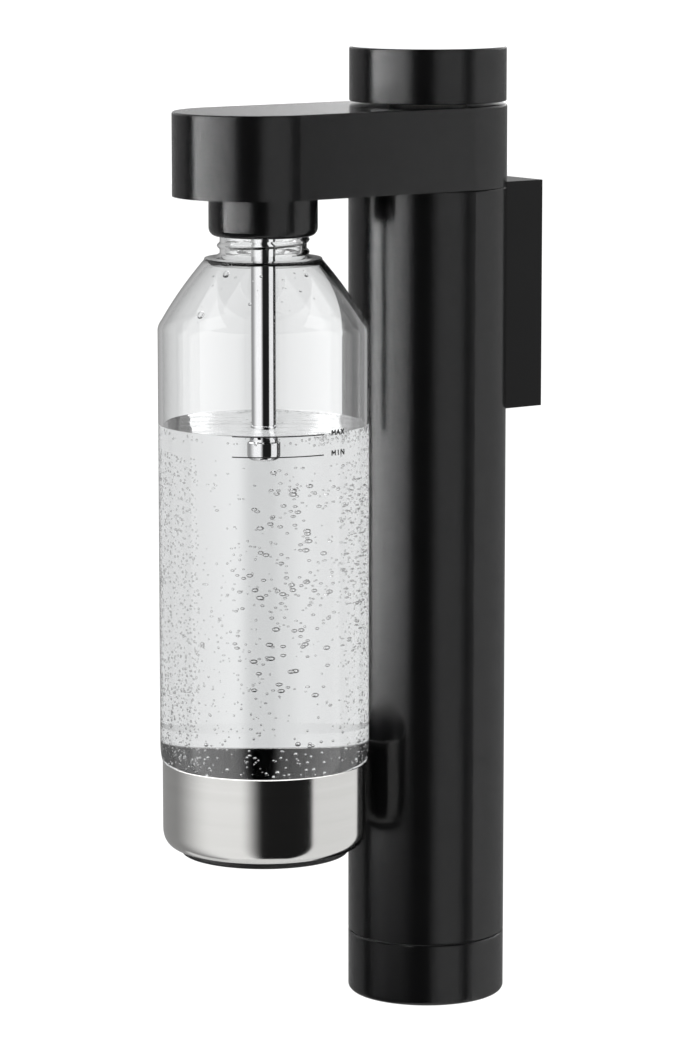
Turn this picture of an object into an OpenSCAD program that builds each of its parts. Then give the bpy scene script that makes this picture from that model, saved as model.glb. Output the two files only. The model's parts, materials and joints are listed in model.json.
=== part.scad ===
// Wall-mounted soda carbonator: a gas tower, an arm with the button and the
// carbonation head, a screw-in bottle, and a wall bracket it hangs on.
// Origin: centre of the bracket's back face, on the wall. The wall is +Y, up is +Z.

/* [Tower] */
// Outer diameter of the tower, arm and cap
tower_d = 70.5; // [70:0.1:71]
// Wall thickness of the tower tube
tower_wall = 2; // [1.8:0.1:2.1]
// Length of the tower below the arm, end cap included
tower_len = 366.2; // [364:0.2:370]
// Height of the end cap
cap_h = 28.3; // [26:0.1:30]
// Distance from the wall to the tower's axis
tower_y = 49.2; // [49:0.1:52]

/* [Arm] */
// Height of the arm
arm_h = 36.4; // [36:0.1:38]
// Height of the arm's underside above the origin
arm_z = 49.2; // [48:0.1:50]
// Distance from the tower's axis to the arm's front arc centre
arm_reach = 94; // [92:0.1:96]
// Wall thickness of the arm shell
arm_wall = 2.5; // [2.3:0.1:2.6]
// Radius of the arm's upper edge
arm_edge = 1.0; // [0.6:0.1:1.4]

/* [Button] */
// Diameter of the push button
button_d = 69.8; // [69:0.1:69.9]
// Height of the push button's visible side
button_h = 24.1; // [23.8:0.1:25]
// Gap between button and arm at rest
button_gap = 1.3; // [1.2:0.1:1.6]

/* [Bottle] */
// Distance from the tower's axis to the bottle's axis
bottle_reach = 89; // [88:0.1:90]
// Diameter of the bottle
bottle_d = 92; // [91:0.5:93]
// Wall thickness of the bottle
bottle_wall = 2; // [1.8:0.1:2.2]
// Diameter of the bottle's neck
neck_d = 37.8; // [37.4:0.1:38.2]
// Diameter of the steel base cup
cup_d = 90; // [89.8:0.1:90.2]
// Height of the steel base cup
cup_h = 39; // [36:0.5:41]

/* [Bracket] */
// Width of the bracket housing
bracket_w = 40; // [38:1:44]
// Height of the bracket housing
bracket_h = 101.6; // [98:0.2:104]
// Distance between the two wall screws
screw_spacing = 52; // [50:1:54]

/* [Hidden] */
$fn = 96;

eps = 0.5;                        // how far a cut runs past a face
fit_gap = 0.08;                   // radial gap of a running fit
seat_gap = 0.05;                  // radial gap of a part seated in a bore
mid_fn = 48;                      // sides of a small round part
low_fn = 32;                      // sides of a screw or its hole

// Tower
tower_r = tower_d / 2;
bore_r = tower_r - tower_wall;
tower_bottom = arm_z - tower_len;
tower_top = arm_z - 0.2;          // a hair's gap under the arm
tower_top_chamfer = 0.35;
cap_top = tower_bottom + cap_h;
cap_edge = 2.5;                   // radius of the cap's lower edge
cap_floor = tower_bottom + 3;
cap_skirt_t = 2;                  // thickness of the cap's side below its thread
seam = 0.4;                       // gap between the cap and the tube
seam_chamfer = 0.5;
seam_seal_w = 1.1;
thread_l = 14;                    // length of the end cap's thread
bottom_ring_h = 26;               // height of the bottom ring above the seam
top_ring_r = 16;
top_ring_bottom = arm_z - 11.2;
guide_levels = [-180, -70];
guide_h = 16;

// Arm
arm_top = arm_z + arm_h;
arm_ceiling = arm_top - arm_wall;
arm_inner_r = tower_r - arm_wall;
plate_t = 2.5;                    // thickness of the arm's base plate
plate_top = arm_z + plate_t;
boss_r = 3.5;
arm_screw_r = 1.25;
arm_screw_l = 12;                 // length above the base plate
arm_screw_head_r = 2.6;
arm_screw_sink = 1.6;             // depth of the countersink in the base plate

// Button
button_r = button_d / 2;
button_z = arm_top + button_gap;
button_top = button_z + button_h;
button_edge = 1;                  // radius of its upper edge
button_chamfer = 0.4;
button_wall = 2.5;
stem_r = 8;
stem_bore_r = 6;
stem_bottom = arm_z + 32.8;
plunger_top = button_top - 20;
plunger_head_z = arm_z + 34.8;
plunger_r = 3.05;
guide_flange_r = 17;
guide_flange_t = 1.5;
guide_r = 12;
guide_top = arm_top + 12.4;

// Gas side, on the tower's axis
block_r = 15.5;
block_bottom = arm_z - 13.2;
block_top = arm_z + 30.8;
block_flange_r = 24;
block_flange_top = plate_top + 4.3;
chamber_r = 5;
chamber_z = arm_z + 0.8;
chamber_top = arm_z + 16.8;
plunger_bore_r = 3.1;
plunger_seal_r = 4.4;
plunger_seal_z = arm_z + 18.8;
plunger_seal_h = 3;
port_r = 1.5;
port_z = arm_z + 12.8;            // level of the gas line
line_r = 2;
line_bore_r = 1.2;
nut_r = 5.2;
nut_l = 8;

// Gas cylinder: a standard screw-in one, 60 mm wide
gas_r = 30;
gas_wall = 2.2;
gas_clearance = 0.6;              // between the cylinder and its guides
gas_base = tower_bottom + 14;
gas_foot_r = 22;
gas_corner = 6;
gas_neck_r = 13;
gas_neck_bore = 8;
gas_neck_z = arm_z - 22.2;
gas_shoulder = gas_neck_z - 27;
valve_thread_r = 10.5;
valve_body_r = 12.4;
valve_shoulder_z = gas_neck_z + 8.5;
valve_top = arm_z + 0.3;
pin_r = 1.5;
pin_top = arm_z + 3.8;
pin_l = 13;

// Bottle
bottle_r = bottle_d / 2;
neck_r = neck_d / 2;
neck_bore = neck_r - 2.3;
rim_z = arm_z - 2.2;
thread_pitch = 5.4;
thread_z = rim_z - 19.8;          // middle of the lowest ridge
thread_depth = 1.2;
bead_r = neck_r + 6.7;            // bead between neck and shoulder
shoulder_z = rim_z - 24.9;
hip_z = rim_z - 52;               // where the shoulder turns into the side
body_top_z = rim_z - 56.5;
foot_bottom = rim_z - 288;
foot_t = 2.5;
foot_r = 37;
foot_bore = 27;
cup_r = cup_d / 2;
cup_bottom = foot_bottom + foot_t;
cup_top = cup_bottom + cup_h;
cup_wall = 0.9;
cup_corner = 9;
floor_z = cup_bottom + 6;         // underside of the bottle, inside the cup

// Carbonation head, on the bottle's axis
collar_r = 23.7;
collar_bore_r = 20.5;
collar_bottom = arm_z - 17.4;
collar_edge_h = 3.6;              // height of the rounded lower edge
head_flange_r = collar_r + 4.6;
head_flange_t = 2.5;
head_top = arm_z + 20.8;
nozzle_r = 5.3;
nozzle_bore = 3.5;
tip_top = rim_z - 99.5;
tip_bottom = rim_z - 112;
tip_r = 5.4;
tip_waist_r = 4.6;
tip_hole_r = 0.7;
relief_x = 12;                    // offset of the relief valve and burst disc
relief_r = 5.5;
relief_bore = 3.3;
relief_top = head_top + 12;
relief_ceiling = relief_top - 1.5;
relief_seat_h = 3.5;
seal_in_r = 16.5;
seal_out_r = 20.2;

// Places across the unit, as [x, y], and bolt circles, as [radius, count, first angle]
bottle_y = tower_y + bottle_reach;
arm_front_y = tower_y + arm_reach;
tower_at = [0, -tower_y];
bottle_at = [0, -bottle_y];
arm_front_at = [0, -arm_front_y];
boss_places = [[24, -86], [-24, -86], [14.5, -168], [-14.5, -168]];
tower_bolts = [28, 4, 45];
block_bolts = [20, 3, 90];
head_bolts = [25.8, 3, 30];
bolt_r = 1.5;
bolt_bottom = top_ring_bottom + 4;
head_bolt_r = 1.1;

// Bracket
bracket_wall = 2.5;
bracket_face_y = tower_r - tower_y;        // level with the tower's back
bracket_wrap = 7;                          // how far it reaches round the tower
bracket_screw_z = 33;
bracket_screw_x = 9;
bracket_screw_r = 2;
wall_plate_t = 3;
wall_plate_w = 30;
wall_plate_h = 68;
wall_hole_r = 2.25;
hook_levels = [8, -22];                    // undersides of the two wall hooks
hook_w = 24;
hook_t = 3;
hook_lip_t = 2.5;
hook_lip_h = 6;
hook_lip_y = -8.5;
tongue_rise = 17;                          // top of a tongue above its hook
tongue_gap = 0.3;

// An arc's points: centre, radius, start and end angle, number of steps
function arc(c, r, a0, a1, n) =
    [for (i = [0:n]) let (a = a0 + (a1 - a0) * i / n) c + r * [cos(a), sin(a)]];

// A curve from p0 to p2, pulled towards p1
function bend(p0, p1, p2, n) =
    [for (i = [0:n]) let (t = i / n)
        (1 - t) * (1 - t) * p0 + 2 * t * (1 - t) * p1 + t * t * p2];

// Shifts its children to a place [x, y]
module at(place) {
    translate([place[0], place[1], 0]) children();
}

// Repeats its children on a bolt circle
module on_circle(bolts) {
    for (i = [0:bolts[1] - 1])
        rotate(bolts[2] + i * 360 / bolts[1]) translate([bolts[0], 0, 0]) children();
}

// Upright cylinder from level z0 to z1
module post(r, z0, z1, sides = $fn) {
    translate([0, 0, z0]) cylinder(r = r, h = z1 - z0, $fn = sides);
}

// Ring from level z0 to z1
module ring(r_out, r_in, z0, z1) {
    rotate_extrude() translate([r_in, z0]) square([r_out - r_in, z1 - z0]);
}

// Block between two corners
module block(low, high) {
    translate(low) cube(high - low);
}

// Screw along +Z, with its socket head on top: shaft from z0 to z1, head above z1
module screw(shaft_r, head_r, head_h, z0, z1) {
    post(shaft_r, z0, z1 + head_h / 2, low_fn);
    difference() {
        post(head_r, z1, z1 + head_h, low_fn);
        post(shaft_r * 0.6, z1 + head_h * 0.6, z1 + head_h + eps, 6);
    }
}

// Wire coil: mean radius, wire radius, ends, number of turns
module coil(r, wire, z0, z1, turns) {
    sides = 8;
    per_turn = 20;
    steps = turns * per_turn;
    rise = (z1 - z0 - 2 * wire) / steps;
    points = [for (i = [0:steps]) for (j = [0:sides - 1])
        let (a = 360 * i / per_turn, b = 360 * j / sides, d = r + wire * cos(b))
        [d * cos(a), d * sin(a), z0 + wire + rise * i + wire * sin(b)]];
    walls = [for (i = [0:steps - 1]) for (j = [0:sides - 1])
        let (k = (j + 1) % sides)
        [i * sides + j, (i + 1) * sides + j, (i + 1) * sides + k, i * sides + k]];
    first = [for (j = [0:sides - 1]) j];
    last = [for (j = [sides - 1:-1:0]) steps * sides + j];
    polyhedron(points, concat(walls, [first, last]));
}

// Long round-ended solid over the tower and the arm's front arc
module arm_solid(r, z0, z1, edge) {
    side = concat([[0, z0], [r, z0]], arc([r - edge, z1 - edge], edge, 0, 90, 6), [[0, z1]]);
    at(tower_at) rotate_extrude() polygon(side);
    at(arm_front_at) rotate_extrude() polygon(side);
    translate([0, -tower_y, 0]) rotate([90, 0, 0]) linear_extrude(arm_reach) {
        polygon(side);
        mirror([1, 0]) polygon(side);
    }
}

// ---- Wall bracket ----

// L-shaped hook rail, open upwards, on the wall side
module wall_hook(z) {
    block([-hook_w / 2, hook_lip_y, z], [hook_w / 2, -wall_plate_t, z + hook_t]);
    block([-hook_w / 2, hook_lip_y, z + hook_t],
          [hook_w / 2, hook_lip_y + hook_lip_t, z + hook_t + hook_lip_h]);
}

module wall_plate() {
    color("lightgray")
    difference() {
        union() {
            block([-wall_plate_w / 2, -wall_plate_t, -wall_plate_h / 2],
                  [wall_plate_w / 2, 0, wall_plate_h / 2]);
            for (z = hook_levels) wall_hook(z);
        }
        for (z = [-screw_spacing / 2, screw_spacing / 2])
            translate([0, eps, z]) rotate([90, 0, 0])
                cylinder(r = wall_hole_r, h = wall_plate_t + 2 * eps);
    }
}

module bracket_housing() {
    half_w = bracket_w / 2;
    half_h = bracket_h / 2;
    color("#1a1a1b")
    difference() {
        block([-half_w, bracket_face_y - bracket_wrap, -half_h], [half_w, 0, half_h]);
        block([-half_w + bracket_wall, bracket_face_y + bracket_wall, -half_h + bracket_wall],
              [half_w - bracket_wall, eps, half_h - bracket_wall]);
        at(tower_at) post(tower_r, -half_h - eps, half_h + eps);
        bracket_screw_cuts();
    }
}

// Repeats its children at the four screws that hold the housing to the tower
module at_bracket_screws() {
    for (x = [-bracket_screw_x, bracket_screw_x])
        for (z = [-bracket_screw_z, bracket_screw_z])
            translate([x, bracket_face_y + bracket_wall, z]) children();
}

// Screw holes through the housing and the tower's wall
module bracket_screw_cuts() {
    cut_l = 12;
    at_bracket_screws() translate([0, 4, 0]) rotate([90, 0, 0])
        cylinder(r = bracket_screw_r, h = cut_l, $fn = low_fn);
}

// Tongues that drop into the wall hooks
module hook_plate() {
    back = -wall_plate_t - tongue_gap;
    color("darkgray")
    for (z = hook_levels) {
        top = z + tongue_rise;
        block([-hook_w / 2, bracket_face_y + bracket_wall, top - hook_t], [hook_w / 2, back, top]);
        block([-hook_w / 2, back - hook_lip_t, z + hook_t], [hook_w / 2, back, top - hook_t]);
    }
}

module bracket_screws() {
    reach = 6.4;                  // through the housing and the tower's wall
    head_r = 3.6;
    head_h = 2.2;
    color("silver")
    at_bracket_screws() rotate([-90, 0, 0]) screw(bracket_screw_r, head_r, head_h, -reach, 0);
}

// ---- Tower ----

module tower_tube() {
    side = [[bore_r, cap_top], [tower_r - seam_chamfer, cap_top],
            [tower_r, cap_top + seam_chamfer], [tower_r, tower_top - tower_top_chamfer],
            [tower_r - tower_top_chamfer, tower_top], [bore_r, tower_top]];
    color("#141415")
    difference() {
        at(tower_at) rotate_extrude() polygon(side);
        bracket_screw_cuts();
    }
}

module tower_top_ring() {
    color("dimgray")
    at(tower_at) difference() {
        ring(bore_r, top_ring_r, top_ring_bottom, arm_z);
        on_circle(tower_bolts) post(bolt_r, bolt_bottom, arm_z + eps, low_fn);
        on_circle(block_bolts) post(bolt_r, bolt_bottom, arm_z + eps, low_fn);
    }
}

module tower_bottom_ring() {
    inner_r = gas_r + gas_clearance;
    color("dimgray")
    at(tower_at) {
        ring(bore_r, inner_r, cap_top, cap_top + bottom_ring_h);
        ring(bore_r - fit_gap, inner_r, cap_top - thread_l, cap_top);
    }
}

module cylinder_guides() {
    color("whitesmoke")
    at(tower_at) for (z = guide_levels) ring(bore_r, gas_r + gas_clearance, z, z + guide_h);
}

module tower_screws() {
    head_r = 2.9;
    head_h = 2;
    color("silver")
    at(tower_at) on_circle(tower_bolts) screw(bolt_r, head_r, head_h, bolt_bottom, plate_top);
}

// ---- Arm ----

module arm_shell() {
    ceiling_edge = 0.2;
    color("#141415") {
        difference() {
            arm_solid(tower_r, arm_z, arm_top, arm_edge);
            arm_solid(arm_inner_r, arm_z - eps, arm_ceiling, ceiling_edge);
            at(tower_at) post(guide_r + seat_gap, arm_ceiling - eps, arm_top + eps);
        }
        for (place = boss_places) at(place) difference() {
            post(boss_r, plate_top, arm_ceiling, low_fn);
            post(arm_screw_r, plate_top - eps, plate_top + arm_screw_l + 2, low_fn);
        }
    }
}

module arm_base_plate() {
    plate_edge = 0.1;
    color("#202022")
    difference() {
        arm_solid(arm_inner_r - seat_gap, arm_z, plate_top, plate_edge);
        at(tower_at) {
            post(block_r + seat_gap, arm_z - eps, plate_top + eps);
            on_circle(tower_bolts) post(bolt_r, arm_z - eps, plate_top + eps, low_fn);
            on_circle(block_bolts) post(bolt_r, arm_z - eps, plate_top + eps, low_fn);
        }
        at(bottle_at) {
            post(collar_r + seat_gap, arm_z - eps, plate_top + eps);
            on_circle(head_bolts) post(head_bolt_r, arm_z - eps, plate_top + eps, low_fn);
        }
        for (place = boss_places) at(place) {
            post(arm_screw_r + 0.15, arm_z - eps, plate_top + eps, low_fn);
            post(arm_screw_head_r + 0.1, arm_z - eps, arm_z + arm_screw_sink, low_fn);
        }
    }
}

// Screws upwards through the base plate into the shell's bosses
module arm_screws() {
    head_h = 1.5;
    color("silver")
    for (place = boss_places) at(place) mirror([0, 0, 1])
        screw(arm_screw_r, arm_screw_head_r, head_h, -plate_top - arm_screw_l,
              -arm_z - arm_screw_sink);
}

module button_guide() {
    hang = 1.5;                   // how far it reaches below the arm's ceiling
    color("whitesmoke")
    at(tower_at) {
        ring(guide_r, stem_r + fit_gap, arm_ceiling - hang, guide_top);
        ring(guide_flange_r, guide_r, arm_top, arm_top + guide_flange_t);
    }
}

// ---- Gas side ----

module valve_block() {
    port_l = 30;
    color("goldenrod")
    at(tower_at) difference() {
        union() {
            post(block_r, block_bottom, block_top);
            post(block_flange_r, plate_top, block_flange_top);
        }
        post(valve_thread_r + seat_gap, block_bottom - eps, chamber_z);
        post(chamber_r, chamber_z - eps, chamber_top);
        post(plunger_bore_r, chamber_top - eps, block_top + eps);
        post(plunger_seal_r, plunger_seal_z, plunger_seal_z + plunger_seal_h);
        on_circle(block_bolts) post(bolt_r, plate_top - eps, block_flange_top + eps, low_fn);
        translate([0, 0, port_z]) rotate([90, 0, 0]) cylinder(r = port_r, h = port_l, $fn = low_fn);
    }
}

module valve_block_screws() {
    head_r = 2.7;
    head_h = 2;
    color("silver")
    at(tower_at) on_circle(block_bolts) screw(bolt_r, head_r, head_h, bolt_bottom, block_flange_top);
}

module plunger_seal() {
    color("#1c1c1c")
    at(tower_at)
        ring(plunger_seal_r, plunger_bore_r, plunger_seal_z, plunger_seal_z + plunger_seal_h);
}

// Ends of the gas line: the valve block's side and the carbonation head's side
line_start_y = -tower_y - block_r;
line_end_y = -bottle_y + collar_bore_r;

module gas_line() {
    line_l = line_start_y - line_end_y;
    color("silver")
    translate([0, line_start_y, port_z]) rotate([90, 0, 0]) difference() {
        cylinder(r = line_r, h = line_l, $fn = mid_fn);
        translate([0, 0, -eps]) cylinder(r = line_bore_r, h = line_l + 2 * eps, $fn = mid_fn);
    }
}

module gas_line_nuts() {
    color("goldenrod")
    for (y = [line_start_y, line_end_y + nut_l])
        translate([0, y, port_z]) rotate([90, 0, 0]) difference() {
            cylinder(r = nut_r, h = nut_l, $fn = 6);
            translate([0, 0, -eps]) cylinder(r = line_r, h = nut_l + 2 * eps, $fn = mid_fn);
        }
}

// Steel shell with a foot ring, a domed shoulder and a threaded neck
module gas_cylinder() {
    inner = gas_r - gas_wall;
    outer_side = concat(
        [[0, gas_base + 4], [gas_foot_r - 2, gas_base + 2], [gas_foot_r, gas_base]],
        arc([gas_r - gas_corner, gas_base + gas_corner], gas_corner, -90, 0, 6),
        bend([gas_r, gas_shoulder], [gas_r, gas_shoulder + 17],
             [gas_neck_r + 1.5, gas_neck_z - 6], 10),
        [[gas_neck_r, gas_neck_z - 4.5], [gas_neck_r, gas_neck_z]]);
    inner_side = concat(
        [[gas_neck_bore, gas_neck_z], [gas_neck_bore, gas_neck_z - 7]],
        bend([gas_neck_bore + 2, gas_neck_z - 8.5], [inner, gas_shoulder + 14],
             [inner, gas_shoulder], 10),
        [[inner, gas_base + 9], [inner - 4, gas_base + 6], [0, gas_base + 7]]);
    color("lightslategray")
    at(tower_at) rotate_extrude() polygon(concat(outer_side, inner_side));
}

module cylinder_valve() {
    spigot_l = 9;                 // length inside the cylinder's neck
    color("goldenrod")
    at(tower_at) difference() {
        union() {
            post(gas_neck_bore - seat_gap, gas_neck_z - spigot_l, gas_neck_z);
            post(valve_body_r, gas_neck_z, valve_shoulder_z);
            post(valve_thread_r, valve_shoulder_z, valve_top);
        }
        post(pin_r + fit_gap, pin_top - pin_l - 2, valve_top + eps, mid_fn);
    }
}

module cylinder_valve_pin() {
    color("silver")
    at(tower_at) post(pin_r, pin_top - pin_l, pin_top, mid_fn);
}

module cylinder_seal() {
    seal_r = 9.5;
    color("#2a2a2a")
    at(tower_at) ring(seal_r, chamber_r, valve_top, chamber_z);
}

// ---- Carbonation head ----

module bottle_collar() {
    tip = 0.2;                    // width of the flat left on the lower edge
    lip = collar_r - collar_bore_r - tip;
    lower_edge = [for (a = [0:15:90])
        [collar_bore_r + tip + lip * sin(a), collar_bottom + collar_edge_h * (1 - cos(a))]];
    side = concat([[collar_bore_r, collar_bottom]], lower_edge,
        [[collar_r, plate_top], [head_flange_r, plate_top],
         [head_flange_r, plate_top + head_flange_t], [collar_bore_r, plate_top + head_flange_t]]);
    color("#141415")
    at(bottle_at) difference() {
        rotate_extrude() polygon(side);
        on_circle(head_bolts)
            post(head_bolt_r, plate_top - eps, plate_top + head_flange_t + eps, low_fn);
    }
}

module carbonation_head() {
    flange_z = plate_top + head_flange_t;
    port_l = 30;
    color("#3a3a3c")
    at(bottle_at) difference() {
        union() {
            post(collar_bore_r - seat_gap, arm_z, head_top);
            post(head_flange_r, flange_z, flange_z + head_flange_t);
        }
        post(nozzle_r + seat_gap, arm_z - eps, port_z);
        post(nozzle_bore, port_z - eps, port_z + 3);
        for (x = [-relief_x, relief_x])
            translate([x, 0, 0]) post(port_r, arm_z - eps, head_top + eps, low_fn);
        on_circle(head_bolts)
            post(head_bolt_r, flange_z - eps, flange_z + head_flange_t + eps, low_fn);
        translate([0, 0, port_z]) rotate([-90, 0, 0])
            cylinder(r = port_r, h = port_l, $fn = low_fn);
    }
}

module head_screws() {
    head_r = 2.1;
    head_h = 1.6;
    color("silver")
    at(bottle_at) on_circle(head_bolts)
        screw(head_bolt_r, head_r, head_h, arm_z + 0.4, plate_top + 2 * head_flange_t);
}

module nozzle_tube() {
    color("gainsboro")
    at(bottle_at) ring(nozzle_r, nozzle_bore, tip_top, port_z);
}

// Cup under a waist with a ring of gas holes
module nozzle_tip() {
    cup_z = tip_bottom + 8.2;
    corner = 2.5;
    spigot_l = 6;                 // length inside the nozzle tube
    spigot_bore = 2.4;
    outlet_r = 1;
    hole_z = tip_top - 2.5;
    hole_l = 4;
    holes = 10;
    side = concat([[outlet_r, tip_bottom]],
        arc([tip_r - corner, tip_bottom + corner], corner, -90, 0, 6),
        [[tip_r, cup_z - 0.4], [tip_r - 0.4, cup_z], [tip_waist_r, cup_z],
         [tip_waist_r, tip_top], [nozzle_bore, tip_top], [nozzle_bore, tip_top + spigot_l],
         [spigot_bore, tip_top + spigot_l], [spigot_bore, cup_z - 1], [outlet_r, cup_z - 2]]);
    color("gainsboro")
    at(bottle_at) difference() {
        rotate_extrude() polygon(side);
        for (i = [0:holes - 1]) rotate(i * 360 / holes)
            translate([0, 0.1 - spigot_bore, hole_z]) rotate([90, 0, 0])
                cylinder(r = tip_hole_r, h = hole_l, $fn = 24);
    }
}

module relief_valve_body() {
    vent_r = 1.2;
    color("goldenrod")
    at(bottle_at) translate([relief_x, 0, 0]) difference() {
        post(relief_r, head_top, relief_top);
        post(relief_bore, head_top - eps, relief_ceiling, mid_fn);
        post(vent_r, relief_ceiling - eps, relief_top + eps, low_fn);
    }
}

module relief_poppet() {
    stem_r = 1;
    stem_l = 2.5;
    color("#2a2a2a")
    at(bottle_at) translate([relief_x, 0, 0]) {
        post(relief_bore - fit_gap, head_top, head_top + relief_seat_h, mid_fn);
        post(stem_r, head_top + relief_seat_h, head_top + relief_seat_h + stem_l, low_fn);
    }
}

module relief_spring() {
    mean_r = 2.2;
    wire = 0.4;
    turns = 5;
    color("silver")
    at(bottle_at) translate([relief_x, 0, 0])
        coil(mean_r, wire, head_top + relief_seat_h, relief_ceiling, turns);
}

module burst_disc_plug() {
    hex_h = 6;
    nipple_r = 3;
    nipple_h = 3;
    color("goldenrod")
    at(bottle_at) translate([-relief_x, 0, 0]) {
        post(relief_r, head_top, head_top + hex_h, 6);
        post(nipple_r, head_top + hex_h, head_top + hex_h + nipple_h, mid_fn);
    }
}

// ---- Button ----

module push_button() {
    side = concat(
        [[button_r - button_wall, button_z], [button_r - button_chamfer, button_z],
         [button_r, button_z + button_chamfer]],
        arc([button_r - button_edge, button_top - button_edge], button_edge, 0, 90, 6),
        [[0, button_top], [0, plunger_top], [stem_bore_r, plunger_top],
         [stem_bore_r, stem_bottom], [stem_r, stem_bottom], [stem_r, button_top - button_wall],
         [button_r - button_wall, button_top - button_wall]]);
    color("#141415")
    at(tower_at) rotate_extrude() polygon(side);
}

module button_plunger() {
    color("silver")
    at(tower_at) {
        post(plunger_r, pin_top, plunger_head_z, mid_fn);
        post(stem_bore_r - seat_gap, plunger_head_z, plunger_top, mid_fn);
    }
}

module button_spring() {
    mean_r = 14.5;
    wire = 0.9;
    turns = 5;
    color("silver")
    at(tower_at) coil(mean_r, wire, arm_top + guide_flange_t, button_top - button_wall, turns);
}

// ---- Bottle ----

module neck_seal() {
    color("#2a2a2a")
    at(bottle_at) ring(seal_out_r, seal_in_r, rim_z, arm_z);
}

// Half outlines of the bottle, from the bottom's centre up to the rim
function bottle_outside() = let (seat = cup_r - cup_wall, hip = [bottle_r - 1.7, hip_z]) concat(
    [[0, floor_z + 6.5], [28, floor_z + 1.5], [34, floor_z]],
    arc([seat - cup_corner, floor_z + cup_corner], cup_corner, -90, 0, 8),
    [[seat, cup_top], [cup_r + 0.1, cup_top + 0.1]],
    bend([bottle_r - 0.5, cup_top + 2], [bottle_r, cup_top + 4], [bottle_r, cup_top + 8], 4),
    bend([bottle_r, body_top_z], [bottle_r, hip_z - 2.2], hip, 5),
    bend(hip, [bottle_r - 9.5, hip_z + 13.6], [bead_r, shoulder_z - 1.2], 8),
    [[bead_r, shoulder_z - 0.3], [bead_r - 0.4, shoulder_z], [bead_r - 2, shoulder_z + 0.2],
     [neck_r + 2.1, shoulder_z + 1.6], [neck_r + 0.3, shoulder_z + 3]],
    neck_threads(),
    [[neck_r - 0.4, rim_z - 0.5], [neck_r - 0.9, rim_z]]);

// Ridges round the neck, at one pitch
function neck_threads() = [for (i = [0:3])
    for (p = [[0, -1.6], [thread_depth, -0.5], [thread_depth, 0.3], [0, 0.9]])
        [neck_r + p[0], thread_z + i * thread_pitch + p[1]]];

function bottle_inside() = let (r = bottle_r - bottle_wall, hip = [r - 1.4, hip_z - 1]) concat(
    [[neck_bore, rim_z], [neck_bore, shoulder_z + 1]],
    bend([neck_bore + 6.4, shoulder_z - 3.4], [r - 9.1, hip_z + 12.4], hip, 8),
    bend(hip, [r, hip_z - 3], [r, body_top_z], 5),
    [[r, cup_top + 8], [r - 0.8, cup_top]],
    arc([r - 8.8, floor_z + 10.8], 8, 0, -90, 8),
    [[0, floor_z + 9.5]]);

module bottle_vessel() {
    color([0.86, 0.89, 0.9, 0.35])
    at(bottle_at) rotate_extrude() polygon(concat(bottle_outside(), bottle_inside()));
}

module bottle_base_cup() {
    inner_r = cup_r - cup_wall;
    edge_z = cup_top - 0.1;       // just below the bottle's side
    side = concat([[0, cup_bottom]],
        arc([cup_r - cup_corner, cup_bottom + cup_corner], cup_corner, -90, 0, 10),
        [[cup_r, edge_z - 0.4], [cup_r - 0.4, edge_z], [inner_r, edge_z]],
        arc([inner_r - cup_corner, cup_bottom + cup_wall + cup_corner], cup_corner, 0, -90, 10),
        [[0, cup_bottom + cup_wall]]);
    color("silver")
    at(bottle_at) rotate_extrude() polygon(side);
}

module bottle_foot_ring() {
    color("#1a1a1b")
    at(bottle_at) rotate_extrude()
        polygon([[foot_bore, cup_bottom], [foot_bore, foot_bottom + 0.5],
                 [foot_bore + 0.5, foot_bottom], [foot_r - 1, foot_bottom],
                 [foot_r, foot_bottom + 1], [foot_r, cup_bottom]]);
}

// ---- End cap ----

// Cup of rubber that the gas cylinder stands in
module cap_pad() {
    pad_r = 24;
    color("#2a2a2a")
    at(tower_at) rotate_extrude()
        polygon([[0, cap_floor], [pad_r - 1, cap_floor], [pad_r, cap_floor + 1],
                 [pad_r, gas_base], [gas_foot_r - 0.5, gas_base],
                 [gas_foot_r - 2, gas_base - 1], [0, gas_base - 1]]);
}

module end_cap() {
    top = cap_top - seam;
    skirt_top = cap_top - thread_l - eps;
    side = concat(
        [[0, tower_bottom]],
        arc([tower_r - cap_edge, tower_bottom + cap_edge], cap_edge, -90, 0, 8),
        [[tower_r, top - seam_chamfer], [tower_r - seam_chamfer, top], [bore_r, top],
         [bore_r, skirt_top], [bore_r - cap_skirt_t, skirt_top],
         [bore_r - cap_skirt_t, cap_floor], [0, cap_floor]]);
    color("#141415")
    at(tower_at) rotate_extrude() polygon(side);
}

module cap_seal() {
    color("#0c0c0c")
    at(tower_at) ring(bore_r + seam_seal_w, bore_r, cap_top - seam, cap_top);
}

wall_plate();
bracket_housing();
hook_plate();
bracket_screws();
tower_tube();
tower_top_ring();
tower_bottom_ring();
cylinder_guides();
tower_screws();
arm_shell();
arm_base_plate();
arm_screws();
button_guide();
valve_block();
valve_block_screws();
plunger_seal();
gas_line();
gas_line_nuts();
carbonation_head();
head_screws();
bottle_collar();
nozzle_tube();
nozzle_tip();
relief_valve_body();
relief_spring();
burst_disc_plug();
relief_poppet();
push_button();
button_plunger();
button_spring();
cylinder_valve_pin();
cylinder_valve();
cylinder_seal();
gas_cylinder();
neck_seal();
bottle_vessel();
bottle_base_cup();
bottle_foot_ring();
cap_pad();
end_cap();
cap_seal();
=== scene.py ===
import json
import math
import random

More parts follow.
